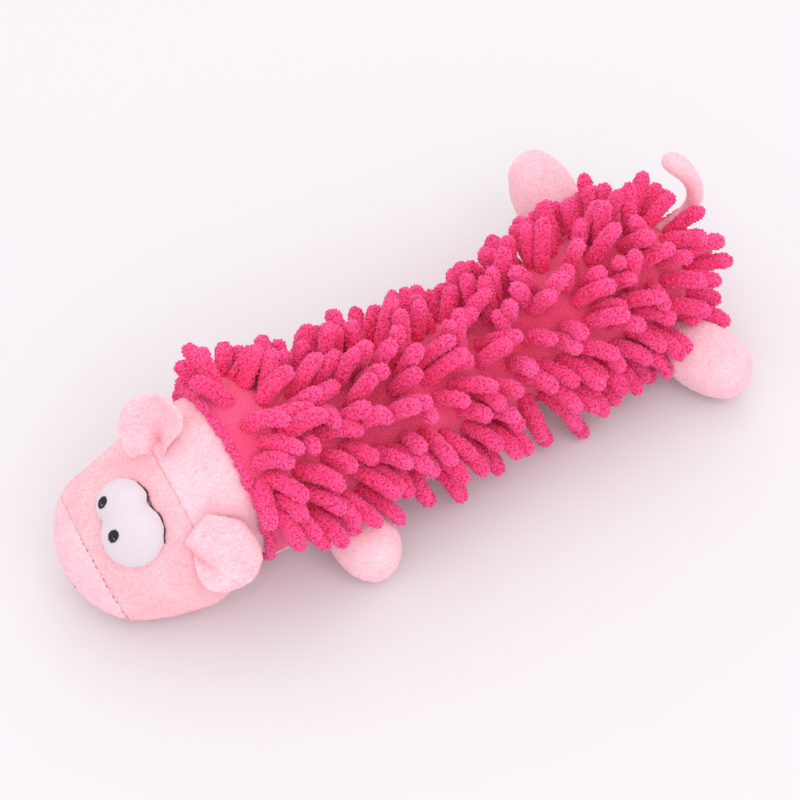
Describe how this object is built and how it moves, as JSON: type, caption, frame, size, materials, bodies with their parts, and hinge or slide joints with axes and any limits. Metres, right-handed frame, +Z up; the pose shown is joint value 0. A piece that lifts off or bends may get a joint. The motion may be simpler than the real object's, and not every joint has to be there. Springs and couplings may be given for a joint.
{
  "type": "plush dog toy",
  "caption": "Long stuffed pig toy for dogs: noodle-cloth body in two stuffed halves, plush head with padded eyes and ears, stub legs, curled tail and a squeaker inside.",
  "frame": {"origin": "on the floor under the middle of the toy's box, as it lies on its belly", "axes": "+Z up, the snout points to -X and the tail to +X, so the pig's left side faces -Y"},
  "size_m": [0.3226, 0.1476, 0.0942],
  "materials": {
    "noodle_cloth": "hot pink chenille noodles on a knitted ground",
    "plush": "pale pink short-pile plush",
    "eye_cloth": "smooth white brushed cloth",
    "pupil_thread": "black embroidery",
    "nostril_thread": "dull pink embroidery",
    "fibre_fill": "white polyester fibre",
    "squeaker_plastic": "translucent soft plastic"
  },
  "bodies": {
    "chest": {"chest_noodle_cover": "noodle_cloth", "chest_belly_panel": "plush", "chest_stuffing": "fibre_fill", "squeaker_bulb": "squeaker_plastic", "squeaker_nozzle": "squeaker_plastic", "squeaker_reed": "squeaker_plastic"},
    "head": {"nape_cover": "plush", "face_cover": "plush", "snout_panel": "plush", "head_stuffing": "fibre_fill", "eye_pad": "eye_cloth", "pupil_left": "pupil_thread", "pupil_right": "pupil_thread", "nostril_left": "nostril_thread", "nostril_right": "nostril_thread"},
    "ear_left": {"ear_left": "plush"},
    "ear_right": {"ear_right": "plush"},
    "rump": {"rump_noodle_cover": "noodle_cloth", "rump_belly_panel": "plush", "rump_stuffing": "fibre_fill"},
    "leg_front_left": {"leg_front_left_cover": "plush", "leg_front_left_stuffing": "fibre_fill"},
    "leg_front_right": {"leg_front_right_cover": "plush", "leg_front_right_stuffing": "fibre_fill"},
    "leg_rear_left": {"leg_rear_left_cover": "plush", "leg_rear_left_stuffing": "fibre_fill"},
    "leg_rear_right": {"leg_rear_right_cover": "plush", "leg_rear_right_stuffing": "fibre_fill"},
    "tail": {"tail": "plush"}
  },
  "joints": [
    {"name": "neck_bend", "type": "hinge", "parent": "chest", "child": "head", "pos_m": [-0.08931, -0.00657, 0.0386], "axis": [-0.2587, 0.009, 0.9659], "range_deg": [-12, 12], "stiffness_Nm_per_rad": 0.3},
    {"name": "waist_bend", "type": "hinge", "parent": "chest", "child": "rump", "pos_m": [0.03361, -0.01086, 0], "axis": [0, 0, 1], "range_deg": [-14, 14], "stiffness_Nm_per_rad": 0.4},
    {"name": "ear_left_bend", "type": "hinge", "parent": "head", "child": "ear_left", "pos_m": [-0.12365, -0.04024, 0.04834], "axis": [0.4178, 0.4457, 0.7917], "range_deg": [-10, 15], "stiffness_Nm_per_rad": 0.003},
    {"name": "ear_right_bend", "type": "hinge", "parent": "head", "child": "ear_right", "pos_m": [-0.11671, 0.00359, 0.06647], "axis": [-0.7299, 0.5432, -0.415], "range_deg": [-40, 4], "stiffness_Nm_per_rad": 0.003},
    {"name": "leg_front_left_bend", "type": "hinge", "parent": "chest", "child": "leg_front_left", "pos_m": [-0.05132, -0.03698, 0.01625], "axis": [0, 0, 1], "range_deg": [-20, 20], "stiffness_Nm_per_rad": 0.03},
    {"name": "leg_front_right_bend", "type": "hinge", "parent": "chest", "child": "leg_front_right", "pos_m": [-0.04929, 0.02112, 0.01625], "axis": [0, 0, 1], "range_deg": [-20, 20], "stiffness_Nm_per_rad": 0.03},
    {"name": "leg_rear_left_bend", "type": "hinge", "parent": "rump", "child": "leg_rear_left", "pos_m": [0.12279, -0.03038, 0.01526], "axis": [0, 0, 1], "range_deg": [-20, 20], "stiffness_Nm_per_rad": 0.03},
    {"name": "leg_rear_right_bend", "type": "hinge", "parent": "rump", "child": "leg_rear_right", "pos_m": [0.1178, 0.02444, 0.01526], "axis": [0, 0, 1], "range_deg": [-20, 20], "stiffness_Nm_per_rad": 0.03},
    {"name": "tail_bend", "type": "hinge", "parent": "rump", "child": "tail", "pos_m": [0.14081, -0.00111, 0.04718], "axis": [0, 0, 1], "range_deg": [-25, 25], "stiffness_Nm_per_rad": 0.004}
  ]
}
